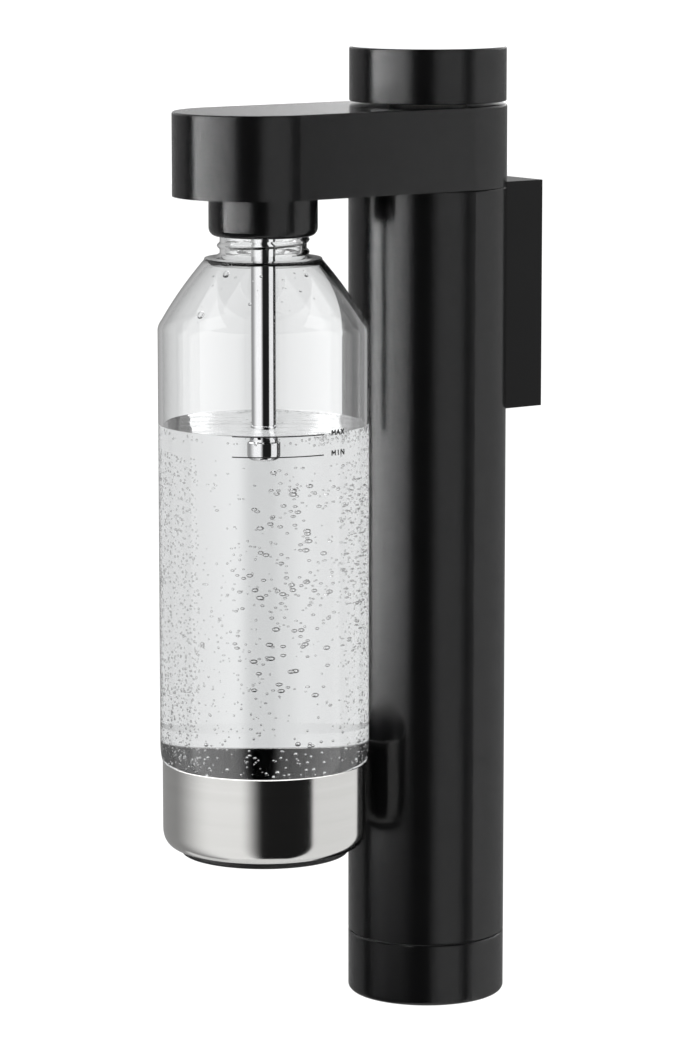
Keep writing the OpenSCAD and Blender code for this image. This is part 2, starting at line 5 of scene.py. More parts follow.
import bmesh
import bpy
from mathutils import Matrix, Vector


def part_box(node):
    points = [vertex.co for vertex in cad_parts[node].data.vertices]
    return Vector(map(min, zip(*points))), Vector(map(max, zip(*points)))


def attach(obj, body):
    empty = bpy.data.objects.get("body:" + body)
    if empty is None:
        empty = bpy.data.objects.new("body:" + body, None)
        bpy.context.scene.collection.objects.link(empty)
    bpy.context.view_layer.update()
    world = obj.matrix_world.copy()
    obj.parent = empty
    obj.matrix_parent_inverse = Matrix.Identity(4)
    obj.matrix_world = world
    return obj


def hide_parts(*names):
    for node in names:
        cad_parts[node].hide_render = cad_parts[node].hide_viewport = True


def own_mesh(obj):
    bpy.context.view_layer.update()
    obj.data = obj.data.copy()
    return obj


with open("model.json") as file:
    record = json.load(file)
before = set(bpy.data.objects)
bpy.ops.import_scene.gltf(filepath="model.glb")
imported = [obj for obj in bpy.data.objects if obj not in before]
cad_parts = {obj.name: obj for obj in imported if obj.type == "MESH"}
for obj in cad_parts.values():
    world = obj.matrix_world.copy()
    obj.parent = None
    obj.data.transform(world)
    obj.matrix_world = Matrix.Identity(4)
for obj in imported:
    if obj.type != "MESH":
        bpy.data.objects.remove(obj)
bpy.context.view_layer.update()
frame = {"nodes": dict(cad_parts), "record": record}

NODES = frame["nodes"]
MM = 0.001
SEGMENTS = 192                     # round a turned piece


def node_span(name):
    """Centre axis (x, y), outer radius, lowest and highest level of a round CAD node, in mm."""
    low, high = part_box(name)
    middle = (low + high) / 2 / MM
    return (middle.x, middle.y), (high.x - low.x) / 2 / MM, low.z / MM, high.z / MM


BOTTLE_AXIS, BOTTLE_R, VESSEL_BOTTOM, RIM_Z = node_span("bottle_vessel")
_, CUP_R, CUP_BOTTOM, CUP_TOP = node_span("bottle_base_cup")
_, FOOT_R, FOOT_BOTTOM, _ = node_span("bottle_foot_ring")

# All lengths and levels below are in mm
WALL = 2.0                         # thickness of the bottle's wall
CUP_WALL = 0.9
NECK_R = 18.9
NECK_BORE = 16.6                   # radius inside the neck
BEAD_R = 25.6                      # bead between neck and shoulder
SHOULDER_Z = 22.1                  # top of the bottle's shoulder
HIP_Z = -5.0                       # where the shoulder turns into the side
BODY_TOP_Z = -9.5                  # where the straight side begins
DOME_Z = -226.0                    # middle of the bottle's bottom, outside
DOME_INNER_Z = -223.0              # the same, inside
BASE_STEP = 0.8                    # how much narrower the inside is within the cup
SIDE_RISE = 9                      # from the cup's rim up to the straight side, outside
INNER_RISE = 8                     # the same, inside
WATER_Z = -50.3                    # water level
THREAD_PITCH = 5.4
THREAD_DEPTH = 1.2
THREAD_START = 23.9                # level of the thread's lower end
THREAD_TURNS = 3.7
THREAD_TAPER = 0.12                # share of a turn over which each end rises
THREAD_HALF_WIDTH = 1.5

# The photograph's camera, in metres
CAMERA_AT = Vector((1.5626, -1.2246, 0.2049))
CAMERA_TURN = math.radians(54.059)            # about +Z, from looking along +Y
CAMERA_TILT = math.radians(8.964)             # downwards
CAMERA_LENS, CAMERA_SENSOR = 150.97, 36       # mm
VIEWER_SIDE = CAMERA_TURN - math.pi / 2       # fixed direction from the unit to that camera


# ---------------------------------------------------------------- mesh tools

def smooth_piece(name, verts, faces, sharp_deg=35):
    """A mesh object with smooth faces and sharp edges above an angle."""
    mesh = bpy.data.meshes.new(name)
    mesh.from_pydata(verts, [], faces)
    mesh.validate()
    for polygon in mesh.polygons:
        polygon.use_smooth = True
    mesh.set_sharp_from_angle(angle=math.radians(sharp_deg))
    piece = bpy.data.objects.new(name, mesh)
    bpy.context.scene.collection.objects.link(piece)
    return piece


def face_outwards(piece):
    """Turns the faces of closed shapes outwards."""
    mesh = bmesh.new()
    mesh.from_mesh(piece.data)
    bmesh.ops.recalc_face_normals(mesh, faces=mesh.faces)
    mesh.to_mesh(piece.data)
    mesh.free()


def finish_piece(piece, material, body, stands_for=()):
    """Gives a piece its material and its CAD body."""
    piece.data.materials.clear()
    piece.data.materials.append(material)
    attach(piece, body)
    if stands_for:
        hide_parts(*stands_for)
    return piece


def bend(p0, p1, p2, steps):
    """Points of a curve from p0 to p2 that is pulled towards p1."""
    points = []
    for i in range(steps + 1):
        t = i / steps
        points.append(tuple((1 - t) ** 2 * a + 2 * t * (1 - t) * b + t * t * c
                            for a, b, c in zip(p0, p1, p2)))
    return points


def rounded(corners, steps=6):
    """An outline with round corners. Each corner is (r, z) or (r, z, fillet radius)."""
    count = len(corners)
    points = []
    for i, corner in enumerate(corners):
        here = Vector(corner[:2])
        radius = corner[2] if len(corner) > 2 else 0
        if not radius or i in (0, count - 1):
            points.append(tuple(here))
            continue
        before = (Vector(corners[i - 1][:2]) - here).normalized()
        after = (Vector(corners[i + 1][:2]) - here).normalized()
        half = before.angle(after) / 2
        reach = radius / math.tan(half)
        points += bend(here + before * reach, here, here + after * reach, steps)
    return points


def turned(name, outline, axis, ripple=None, closed=False, segments=SEGMENTS):
    """Turns an outline of (r, z) points in mm round an upright axis.

    An outline that starts and ends on the axis closes there. closed joins its last point
    to its first. ripple(angle, r, z) gives a change of radius in mm.
    """
    verts, rings = [], []
    for r, z in outline:
        if r < 1e-6:
            rings.append([len(verts)])
            verts.append((axis[0] * MM, axis[1] * MM, z * MM))
            continue
        ring = []
        for i in range(segments):
            angle = 2 * math.pi * i / segments
            grown = r + (ripple(angle, r, z) if ripple else 0)
            ring.append(len(verts))
            verts.append(((axis[0] + grown * math.cos(angle)) * MM,
                          (axis[1] + grown * math.sin(angle)) * MM, z * MM))
        rings.append(ring)
    faces = []
    pairs = list(zip(rings, rings[1:]))
    if closed:
        pairs.append((rings[-1], rings[0]))
    for low, high in pairs:
        for i in range(segments):
            j = (i + 1) % segments
            if len(low) == 1:
                faces.append((low[0], high[j], high[i]))
            elif len(high) == 1:
                faces.append((low[i], low[j], high[0]))
            else:
                faces.append((low[i], low[j], high[j], high[i]))
    return smooth_piece(name, verts, faces)


# ---------------------------------------------------------------- materials

def new_material(name):
    """An empty node material with its Principled shader."""
    material = bpy.data.materials.new(name)
    material.use_nodes = True
    shader = material.node_tree.nodes["Principled BSDF"]
    return material, material.node_tree.nodes, material.node_tree.links, shader


def grain(nodes, links, scale, detail=4.0, stretch=(1, 1, 1)):
    """A noise over the object, in metres, stretched along its axes."""
    place = nodes.new("ShaderNodeTexCoord")
    mapping = nodes.new("ShaderNodeMapping")
    mapping.inputs["Scale"].default_value = stretch
    texture = nodes.new("ShaderNodeTexNoise")
    texture.inputs["Scale"].default_value = scale
    texture.inputs["Detail"].default_value = detail
    links.new(place.outputs["Object"], mapping.inputs["Vector"])
    links.new(mapping.outputs["Vector"], texture.inputs["Vector"])
    return texture.outputs["Fac"]


def ranged(nodes, links, source, low, high):
    """Spreads a 0 to 1 value between two limits."""
    spread = nodes.new("ShaderNodeMapRange")
    spread.inputs["From Min"].default_value = 0.3
    spread.inputs["From Max"].default_value = 0.7
    spread.inputs["To Min"].default_value = low
    spread.inputs["To Max"].default_value = high
    links.new(source, spread.inputs["Value"])
    return spread.outputs["Result"]


def mixed(nodes, links, source, low, high):
    """Blends two colours by a 0 to 1 value."""
    ramp = nodes.new("ShaderNodeValToRGB")
    ramp.color_ramp.elements[0].position = 0.3
    ramp.color_ramp.elements[1].position = 0.7
    ramp.color_ramp.elements[0].color = (*low, 1)
    ramp.color_ramp.elements[1].color = (*high, 1)
    links.new(source, ramp.inputs["Fac"])
    return ramp.outputs["Color"]


def bumped(nodes, links, shader, source, depth, strength=0.3):
    """Raises the surface by a value: depth in metres."""
    bump = nodes.new("ShaderNodeBump")
    bump.inputs["Strength"].default_value = strength
    bump.inputs["Distance"].default_value = depth
    links.new(source, bump.inputs["Height"])
    links.new(bump.outputs["Normal"], shader.inputs["Normal"])


def surface(name, low, high, rough, metallic=0.0, scale=400, stretch=(1, 1, 1),
            depth=0.00002, strength=0.3, **sockets):
    """A procedural finish: colour, roughness and relief all follow one fine noise."""
    material, nodes, links, shader = new_material(name)
    fine = grain(nodes, links, scale, stretch=stretch)
    broad = grain(nodes, links, scale / 20, detail=2.0, stretch=stretch)
    links.new(mixed(nodes, links, broad, low, high), shader.inputs["Base Color"])
    links.new(ranged(nodes, links, fine, *rough), shader.inputs["Roughness"])
    shader.inputs["Metallic"].default_value = metallic
    for socket, value in sockets.items():
        shader.inputs[socket.replace("_", " ")].default_value = value
    bumped(nodes, links, shader, fine, depth, strength)
    return material


def clear_material(name, tint, ior):
    """A clear plastic or liquid with a faint waviness."""
    material, nodes, links, shader = new_material(name)
    shader.inputs["Base Color"].default_value = (*tint, 1)
    shader.inputs["Transmission Weight"].default_value = 1.0
    shader.inputs["Roughness"].default_value = 0.0
    shader.inputs["IOR"].default_value = ior
    wave = grain(nodes, links, 22, detail=1.0, stretch=(1, 1, 0.35))
    bumped(nodes, links, shader, wave, 0.0004, 0.12)
    return material


def bubble_material():
    """Air inside water: the light bends the other way, and the skin is a little wavy."""
    material, nodes, links, shader = new_material("bubble_air")
    nodes.remove(shader)
    glass = nodes.new("ShaderNodeBsdfGlass")
    glass.inputs["IOR"].default_value = 1 / 1.333
    wave = grain(nodes, links, 900, detail=1.0)
    links.new(ranged(nodes, links, wave, 0.0, 0.03), glass.inputs["Roughness"])
    bumped(nodes, links, glass, wave, 0.0001, 0.2)
    links.new(glass.outputs["BSDF"], nodes["Material Output"].inputs["Surface"])
    return material


BLACK_SATIN = surface("black_satin", (0.0022, 0.0022, 0.0024), (0.003, 0.003, 0.0032),
                      (0.17, 0.2), scale=900, depth=0.000004, strength=0.2)
BLACK_PLASTIC = surface("black_plastic", (0.005, 0.005, 0.0053), (0.008, 0.008, 0.0083),
                        (0.42, 0.56), scale=1800, depth=0.00004, strength=0.4)
WHITE_PLASTIC = surface("white_plastic", (0.66, 0.66, 0.63), (0.74, 0.74, 0.71),
                        (0.38, 0.5), scale=1200)
RUBBER = surface("black_rubber", (0.016, 0.016, 0.017), (0.026, 0.026, 0.027),
                 (0.6, 0.75), scale=1500, depth=0.00005, strength=0.5)
ZINC = surface("zinc_steel", (0.5, 0.51, 0.53), (0.64, 0.65, 0.67), (0.24, 0.38),
               metallic=1.0, scale=260, depth=0.00001)
BRASS = surface("brass", (0.62, 0.44, 0.19), (0.76, 0.56, 0.27), (0.2, 0.32),
                metallic=1.0, scale=500, stretch=(1, 1, 8))
CHROME = surface("nozzle_chrome", (0.9, 0.9, 0.91), (0.95, 0.95, 0.96), (0.04, 0.07),
                 metallic=1.0, scale=700, depth=0.000002, strength=0.1)
CYLINDER_PAINT = surface("cylinder_paint", (0.33, 0.35, 0.37), (0.35, 0.37, 0.39),
                         (0.35, 0.48), scale=1500, depth=0.00005, strength=0.4)
CUP_STEEL = surface("cup_steel", (0.638, 0.634, 0.618), (0.664, 0.66, 0.646), (0.1, 0.14),
                    metallic=1.0, scale=900, stretch=(0.02, 0.02, 6), depth=0.000003,
                    strength=0.08)
# Painted shade: a dark, dull finish that the cup's inside gets in place of its steel, for the shade
# there
CUP_PAINTED_SHADE = surface("cup_inside_painted_shade", (0.026, 0.026, 0.027), (0.036, 0.036, 0.037), (0.5, 0.62),
                     scale=1800, Specular_IOR_Level=0.12)
CLEAR = clear_material("clear_bottle", (0.972, 0.978, 0.98), 1.52)
WATER = clear_material("water", (0.985, 0.99, 0.992), 1.333)
AIR = bubble_material()
INK = surface("mark_ink", (0.01, 0.01, 0.011), (0.02, 0.02, 0.021), (0.4, 0.5))

SLOT_MATERIALS = {"black_satin": BLACK_SATIN, "black_plastic": BLACK_PLASTIC,
                  "white_plastic": WHITE_PLASTIC, "black_rubber": RUBBER,
                  "zinc_steel": ZINC, "brass": BRASS, "nozzle_chrome": CHROME,
                  "cylinder_paint": CYLINDER_PAINT, "clear_bottle": CLEAR,
                  "cup_steel": CUP_STEEL}


def dress_cad_nodes():
    """Every CAD node gets the material of its slot."""
    for part in frame["record"]["subparts"]:
        piece = NODES[part["node"]]
        piece.data.materials.clear()
        piece.data.materials.append(SLOT_MATERIALS[part["material_slot"]])


# ---------------------------------------------------------------- the bottle

def thread_ripple(angle, r, z):
    """Raises the neck's outside into one helical ridge with tapered ends."""
    if abs(r - NECK_R) > 0.05 or not THREAD_START <= z <= RIM_Z - 1:
        return 0
    turns = (z - THREAD_START) / THREAD_PITCH - angle / (2 * math.pi)
    nearest = round(turns)
    along = nearest + angle / (2 * math.pi)
    if not 0 <= along <= THREAD_TURNS:
        return 0
    taper = min(1, along / THREAD_TAPER, (THREAD_TURNS - along) / THREAD_TAPER)
    offset = (turns - nearest) * THREAD_PITCH
    across = min(1, abs(offset) / THREAD_HALF_WIDTH)
    return THREAD_DEPTH * taper * max(0, math.cos(across * math.pi / 2))


def bottle_outside():
    """The bottle's outer outline, from the bottom's middle to the rim."""
    seat = CUP_R - CUP_WALL
    foot = rounded([(0, DOME_Z), (16, DOME_Z - 1.5, 8), (30, VESSEL_BOTTOM, 3),
                    (seat, VESSEL_BOTTOM, 9), (seat, CUP_TOP + 0.1)])
    straight = CUP_TOP + SIDE_RISE
    side = bend((BOTTLE_R - 0.9, CUP_TOP + 0.2), (BOTTLE_R, CUP_TOP + 2.5),
                (BOTTLE_R, straight), 8)
    sides = [(BOTTLE_R, straight + (BODY_TOP_Z - straight) * i / 24) for i in range(1, 24)]
    hip = (BOTTLE_R - 1.7, HIP_Z)
    corner = bend((BOTTLE_R, BODY_TOP_Z), (BOTTLE_R, HIP_Z - 2.2), hip, 12)
    shoulder = bend(hip, (BOTTLE_R - 9.5, HIP_Z + 13.6), (BEAD_R, SHOULDER_Z - 0.7), 20)
    ledge = rounded([(BEAD_R, SHOULDER_Z - 0.7), (BEAD_R, SHOULDER_Z, 0.4),
                     (BEAD_R - 3.8, SHOULDER_Z + 0.3, 0.5), (NECK_R + 0.6, SHOULDER_Z + 1.6, 0.8),
                     (NECK_R, THREAD_START + 0.3)], 5)
    steps = 64
    neck = [(NECK_R, THREAD_START + 0.5 + (RIM_Z - 1.5 - THREAD_START) * i / steps)
            for i in range(steps)]
    lip = rounded([(NECK_R, RIM_Z - 0.9), (NECK_R, RIM_Z, 0.6), (NECK_BORE, RIM_Z, 0.5),
                   (NECK_BORE, RIM_Z - 1.5)], 5)
    return foot + side + sides + corner + shoulder[1:] + ledge[1:] + neck + lip


def inner_shoulder():
    """The inside of the bottle's shoulder, from the throat to the hip."""
    r = BOTTLE_R - WALL
    return bend((NECK_BORE + 7.2, SHOULDER_Z - 2.4), (r - 9.1, HIP_Z + 12.4), (r - 1.4, HIP_Z - 1), 20)


def bottle_inside():
    """The bottle's inner outline, from the neck down to the bottom's middle."""
    r = BOTTLE_R - WALL
    neck = [(NECK_BORE, RIM_Z - 3), (NECK_BORE, SHOULDER_Z + 4)]
    shoulder = inner_shoulder()
    throat = bend((NECK_BORE, SHOULDER_Z + 3), (NECK_BORE, SHOULDER_Z), shoulder[0], 8)
    corner = bend(shoulder[-1], (r, HIP_Z - 3), (r, BODY_TOP_Z), 12)
    straight = CUP_TOP + INNER_RISE
    sides = [(r, BODY_TOP_Z + (straight - BODY_TOP_Z) * i / 24) for i in range(1, 25)]
    base = rounded([(r, straight), (r - BASE_STEP, CUP_TOP, 3),
                    (r - BASE_STEP, DOME_INNER_Z - 6.7, 8), (24, DOME_INNER_Z - 6.5, 4),
                    (12, DOME_INNER_Z - 1.5, 6), (0, DOME_INNER_Z)])
    return neck + throat + shoulder[1:] + corner[1:] + sides + base[1:]


def make_bottle():
    """The clear bottle. Its throat is thinner than the CAD's, for a thin line at the bead."""
    outline = bottle_outside() + bottle_inside()
    piece = turned("bottle_vessel_clear", outline, BOTTLE_AXIS, ripple=thread_ripple)
    piece.visible_glossy = False          # the tower mirrors the studio, not the bottle
    return finish_piece(piece, CLEAR, "bottle", ["bottle_vessel"])


def make_water():
    """The water. It reaches a little into the wall, so that no film of air shows between."""
    r = BOTTLE_R - WALL
    over = 0.25
    level_r = r - 5                       # the surface is level up to here
    straight = CUP_TOP + INNER_RISE
    base = rounded([(0, DOME_INNER_Z - 0.2), (12, DOME_INNER_Z - 1.8, 6),
                    (24, DOME_INNER_Z - 6.8, 4), (r - BASE_STEP, DOME_INNER_Z - 7, 8),
                    (r - BASE_STEP + over, CUP_TOP, 3), (r + over, straight)])
    sides = [(r + over, straight + (WATER_Z - straight) * i / 20) for i in range(1, 20)]
    top = bend((r + over, WATER_Z + 0.3), (r - 0.3, WATER_Z), (level_r, WATER_Z), 6)
    top += [(level_r - level_r * i / 12, WATER_Z) for i in range(1, 12)] + [(0, WATER_Z)]
    piece = turned("water", base + sides + top, BOTTLE_AXIS)
    ripple_water(piece)
    piece.visible_glossy = False
    return finish_piece(piece, WATER, "bottle")


def ripple_water(piece):
    """Small waves on the water's surface."""
    for vertex in piece.data.vertices:
        x, y, z = (c / MM for c in vertex.co)
        x, y = x - BOTTLE_AXIS[0], y - BOTTLE_AXIS[1]
        if z < WATER_Z - 0.1 or math.hypot(x, y) > BOTTLE_R - 3:
            continue                          # not the surface, or the rim against the wall
        swell = 0.25 * math.sin(x * 0.31 + 1.1) * math.cos(y * 0.27)
        vertex.co.z += (swell + 0.08 * math.sin(x * 0.8 - y * 0.6)) * MM


# A ball's (rings, segments)
COARSE_BALL, FINE_BALL = (5, 8), (7, 12)
FINE_FROM = 0.7                    # groups with a radius from this up, in mm, get fine balls


def ball(verts, faces, centre, size, shape=FINE_BALL, squash=None):
    """Adds a small ball to a mesh under construction: size is its radius in mm.

    squash is (direction, share): the ball keeps that share of its length along direction.
    """
    rings, segments = shape
    start = len(verts)
    points = [Vector((0, 0, -1))]
    for i in range(1, rings):
        polar = math.pi * i / rings
        for j in range(segments):
            turn = 2 * math.pi * (j + 0.5 * (i % 2)) / segments
            points.append(Vector((math.sin(polar) * math.cos(turn), math.sin(polar) * math.sin(turn),
                                  -math.cos(polar))))
    points.append(Vector((0, 0, 1)))
    for point in points:
        if squash:
            direction, share = squash
            point = point - direction * point.dot(direction) * (1 - share)
        verts.append(tuple((Vector(centre) + point * size) * MM))
    top = start + len(points) - 1
    for j in range(segments):
        k = (j + 1) % segments
        faces.append((start, start + 1 + k, start + 1 + j))
        last = start + 1 + (rings - 2) * segments
        faces.append((last + j, last + k, top))
        for i in range(rings - 2):
            low = start + 1 + i * segments
            high = low + segments
            faces.append((low + j, low + k, high + k, high + j))


def around_bottle(angle, r, z):
    """A point in mm at an angle and radius about the bottle's axis."""
    return (BOTTLE_AXIS[0] + r * math.cos(angle), BOTTLE_AXIS[1] + r * math.sin(angle), z)


def viewer_angle(degrees):
    """An angle about the bottle's axis, from 0 at the viewer's side, + to the viewer's right."""
    return VIEWER_SIDE + math.radians(degrees)


def scatter(rng, verts, faces, count, sizes, angles, radii, levels, squash=None):
    """Balls at random in a part of a ring. Each range is (from, to, crowding towards from)."""
    shape = COARSE_BALL if sizes[1] < FINE_FROM else FINE_BALL

    def pick(span):
        return span[0] + (span[1] - span[0]) * rng.random() ** span[2]

    for _ in range(count):
        size = pick(sizes)
        place = around_bottle(viewer_angle(pick(angles)), pick(radii) - size, pick(levels))
        ball(verts, faces, place, size, shape, squash)


def make_bubbles():
    """Gas bubbles on the bottle's wall and in the water, and foam at the water's edge.

    A group is (count, bubble radii, angles from the viewer, distances from the axis, levels,
    squash). The order of the groups fixes the random draws.
    """
    inner = BOTTLE_R - WALL
    top, base = WATER_Z - 4, CUP_TOP
    on_wall = (inner, inner, 1)
    tiny, middling, foam = (0.28, 0.6, 1.5), (0.5, 1.05, 1.5), (0.25, 0.65, 1.5)
    flat, flatter = (Vector((0, 0, 1)), 0.6), (Vector((0, 0, 1)), 0.3)
    groups = [
        # tiny ones on the wall: left, left edge, right edge, right, all round, front left
        (1300, tiny, (-95, -38, 1), on_wall, (base, top - 6, 1), None),
        (800, tiny, (-98, -76, 1), on_wall, (base, top, 1), None),
        (300, tiny, (70, 98, 1), on_wall, (base, top, 1), None),
        (520, tiny, (48, 100, 1), on_wall, (base, top, 1), None),
        (420, tiny, (-180, 180, 1), on_wall, (base, top - 6, 1), None),
        (150, (0.25, 0.6, 1.5), (-45, 0, 1), on_wall, (-200, -95, 1), None),
        # middling ones: right of the middle, in front, then right and left at the bottom
        (130, middling, (4, 66, 1), (inner, 24, 2), (-135, -64, 1), flat),
        (70, middling, (-60, 60, 1), (inner, 12, 1), (-190, -70, 1), flat),
        (120, middling, (-20, 80, 1), (inner, 10, 2), (-218, -188, 1), None),
        (45, middling, (-80, -20, 1), (inner, 24, 2), (-218, -188, 1), None),
        # large ones from the middle to the right, and flat ones on the wall at the right
        (54, (1.1, 1.7, 1.3), (-10, 44, 1), (inner, 26, 1), (-165, -66, 1), flat),
        (130, (0.6, 1.5, 1.3), (50, 78, 1), on_wall, (-150, -72, 1), flatter),
        # foam: right and behind, right, then left and front
        (190, foam, (75, 200, 1), (inner, inner - 5, 2), (WATER_Z - 0.6, WATER_Z - 5, 2), None),
        (170, foam, (28, 100, 1), (inner, inner - 3, 2), (WATER_Z - 0.5, WATER_Z - 5, 1.5), None),
        (60, foam, (-120, 28, 1), (inner, inner - 2, 2), (WATER_Z - 1, WATER_Z - 4, 1), None),
    ]
    rng = random.Random(7)
    verts, faces = [], []
    for group in groups:
        scatter(rng, verts, faces, *group)
    piece = smooth_piece("gas_bubbles", verts, faces, 80)
    piece.visible_glossy = False
    return finish_piece(piece, AIR, "bottle")


# Large drops on the shoulder: (angle from the viewer, way down the shoulder, radius in mm)
LARGE_DROPS = [(-34, 0.1, 1.7), (-41, 0.86, 1.8), (42, 0.12, 1.1), (-8, 0.62, 0.8), (30, 0.4, 0.7)]


def make_droplets():
    """Drops that cling to the inside of the bottle's shoulder."""
    rng = random.Random(21)
    shoulder = inner_shoulder()
    drops = [(math.degrees(rng.uniform(-math.pi, math.pi)), rng.random(),
              0.22 + 0.5 * rng.random() ** 2.5) for _ in range(40)]
    verts, faces = [], []
    for degrees, way, size in LARGE_DROPS + drops:
        k = min(1 + way * 17, 18)             # place along the shoulder's 20 steps
        (r0, z0), (r1, z1) = shoulder[int(k)], shoulder[int(k) + 1]
        r, z = r0 + (r1 - r0) * (k % 1), z0 + (z1 - z0) * (k % 1)
        slope = Vector((r1 - r0, z1 - z0)).normalized()
        angle = viewer_angle(degrees)
        out = Vector((math.cos(angle) * abs(slope.y), math.sin(angle) * abs(slope.y), abs(slope.x)))
        centre = Vector(around_bottle(angle, r, z)) + out * 0.1
        ball(verts, faces, centre, size, squash=(out, 0.55))
    piece = smooth_piece("spray_droplets", verts, faces, 80)
    piece.visible_glossy = False
    return finish_piece(piece, WATER, "bottle")


INK_LOW, INK_HIGH = 0.01, 0.05     # the print's two faces above the bottle's side, in mm

# Letter strokes in a cell one wide and one high
STROKES = {"M": [[(0, 0), (0, 1), (0.5, 0.35), (1, 1), (1, 0)]],
           "A": [[(0, 0), (0.5, 1), (1, 0)], [(0.2, 0.38), (0.8, 0.38)]],
           "X": [[(0, 0), (1, 1)], [(0, 1), (1, 0)]],
           "I": [[(0.5, 0), (0.5, 1)]],
           "N": [[(0, 0), (0, 1), (1, 0), (1, 1)]]}


def printed_stroke(verts, faces, start, end, width):
    """A thin printed bar on the bottle's side, between two points (degrees, level in mm)."""
    per_degree = BOTTLE_R * math.pi / 180
    along = Vector(((end[0] - start[0]) * per_degree, end[1] - start[1]))
    side = Vector((-along.y, along.x)).normalized() * width / 2
    steps = max(1, int(along.length / 1.5))
    first = len(verts)
    for i in range(steps + 1):
        angle = start[0] + (end[0] - start[0]) * i / steps
        z = start[1] + (end[1] - start[1]) * i / steps
        for sign, height in ((-1, INK_LOW), (1, INK_LOW), (1, INK_HIGH), (-1, INK_HIGH)):
            turn = viewer_angle(angle + sign * side.x / per_degree)
            place = around_bottle(turn, BOTTLE_R + height, z + sign * side.y)
            verts.append(tuple(c * MM for c in place))
    for i in range(steps):
        for j in range(4):
            a, b = first + 4 * i + j, first + 4 * i + (j + 1) % 4
            faces.append((a, b, b + 4, a + 4))
    last = first + 4 * steps
    faces.append((first + 3, first + 2, first + 1, first))
    faces.append((last, last + 1, last + 2, last + 3))


LINE_FROM, LINE_TO, WORD_FROM = -16, 35, 40.5      # degrees from the viewer
LINE_WIDTH, STROKE_WIDTH = 0.48, 0.62              # mm
LETTER_H, LETTER_W, LETTER_STEP = 2.3, 2.4, 3.3    # height in mm, width and step in degrees
LETTER_DROP = 0.7                                  # a word's foot below its line, in mm
FILL_MARKS = ((WATER_Z + 0.1, "MAX"), (WATER_Z - 8.7, "MIN"))


def make_fill_marks():
    """Two fill lines round the front of the bottle, each with a plain word for its limit."""
    verts, faces = [], []
    for z, word in FILL_MARKS:
        printed_stroke(verts, faces, (LINE_FROM, z), (LINE_TO, z), LINE_WIDTH)
        for i, letter in enumerate(word):
            left = WORD_FROM + i * LETTER_STEP
            for stroke in STROKES[letter]:
                points = [(left + x * LETTER_W, z - LETTER_DROP + y * LETTER_H) for x, y in stroke]
                for start, end in zip(points, points[1:]):
                    printed_stroke(verts, faces, start, end, STROKE_WIDTH)
    piece = smooth_piece("fill_marks", verts, faces)
    face_outwards(piece)
    piece.visible_glossy = False
    finish_piece(piece, INK, "bottle")


def make_cup():
    """The steel cup. Faces that look up or towards its axis, below the rim, get a dark painted shade
    in place of the steel.
    """
    inner = CUP_R - CUP_WALL
    floor = CUP_BOTTOM + CUP_WALL
    outline = rounded([(0, CUP_BOTTOM), (CUP_R, CUP_BOTTOM, 9), (CUP_R, CUP_TOP, 0.7),
                       (inner, CUP_TOP, 0.1), (inner, floor, 8.1), (0, floor)], 14)
    piece = turned("bottle_base_cup_steel", outline, BOTTLE_AXIS)
    finish_piece(piece, CUP_STEEL, "bottle", ["bottle_base_cup"])
    # the second material is painted shade for the inside of the cup
    piece.data.materials.append(CUP_PAINTED_SHADE)
    for polygon in piece.data.polygons:
        x, y, z = (c / MM for c in polygon.center)
        facing = polygon.normal
        outward = (x - BOTTLE_AXIS[0]) * facing.x + (y - BOTTLE_AXIS[1]) * facing.y
        # painted shade on the faces inside the cup
        if z < CUP_TOP - 1 and (facing.z > 0.1 or outward < -1):
            polygon.material_index = 1
    return piece


def make_foot():
    """The black ring that the cup stands on."""
    top, hole_r = CUP_BOTTOM, 27
    outline = rounded([(hole_r, top), (hole_r, FOOT_BOTTOM, 0.5), (FOOT_R, FOOT_BOTTOM, 1.2),
                       (FOOT_R, top)])
    piece = turned("bottle_foot_ring_black", outline, BOTTLE_AXIS, closed=True)
    finish_piece(piece, BLACK_PLASTIC, "bottle", ["bottle_foot_ring"])


def make_spring(node, wire, turns):
    """A wire coil in place of a CAD spring.

    wire is the wire's radius in mm.
    """
    axis, outer, low, high = node_span(node)
    mean, sides, per_turn = outer - wire, 12, 36
    steps = turns * per_turn
    rise = (high - low - 2 * wire) / steps
    verts, faces = [], []
    for i in range(steps + 1):
        turn = 2 * math.pi * i / per_turn
        for j in range(sides):
            lean = 2 * math.pi * j / sides
            r, z = mean + wire * math.cos(lean), low + wire + rise * i + wire * math.sin(lean)
            verts.append(((axis[0] + r * math.cos(turn)) * MM, (axis[1] + r * math.sin(turn)) * MM,
                          z * MM))
    for i in range(steps):
        for j in range(sides):
            a, b = i * sides + j, i * sides + (j + 1) % sides
            faces.append((a, a + sides, b + sides, b))
    faces.append(tuple(range(sides)))
    faces.append(tuple(range(steps * sides + sides - 1, steps * sides - 1, -1)))
    piece = smooth_piece(node + "_coil", verts, faces)
    finish_piece(piece, ZINC, "tower", [node])
    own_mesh(piece)


# ---------------------------------------------------------------- studio

# Lengths in metres
FLOOR_Z = -0.8
FLOOR_REACH = 9
STUDIO_AXIS = Vector((0, -0.1, 0))            # middle of the light walls
LIGHT_WALL_LOW, LIGHT_WALL_HIGH = -4.2, 1.7
LIGHT_WALL_SIDES = 96
OPEN_LEVEL = 1.22                             # strength of the world for camera and diffuse rays


def make_camera():
    """The photograph's camera."""
    data = bpy.data.cameras.new("camera")
    data.sensor_width = CAMERA_SENSOR
    data.lens = CAMERA_LENS
    data.clip_start, data.clip_end = 0.05, 50
    camera = bpy.data.objects.new("camera", data)
    bpy.context.scene.collection.objects.link(camera)
    camera.rotation_euler = (math.pi / 2 - CAMERA_TILT, 0, CAMERA_TURN)
    camera.location = CAMERA_AT
    bpy.context.scene.camera = camera


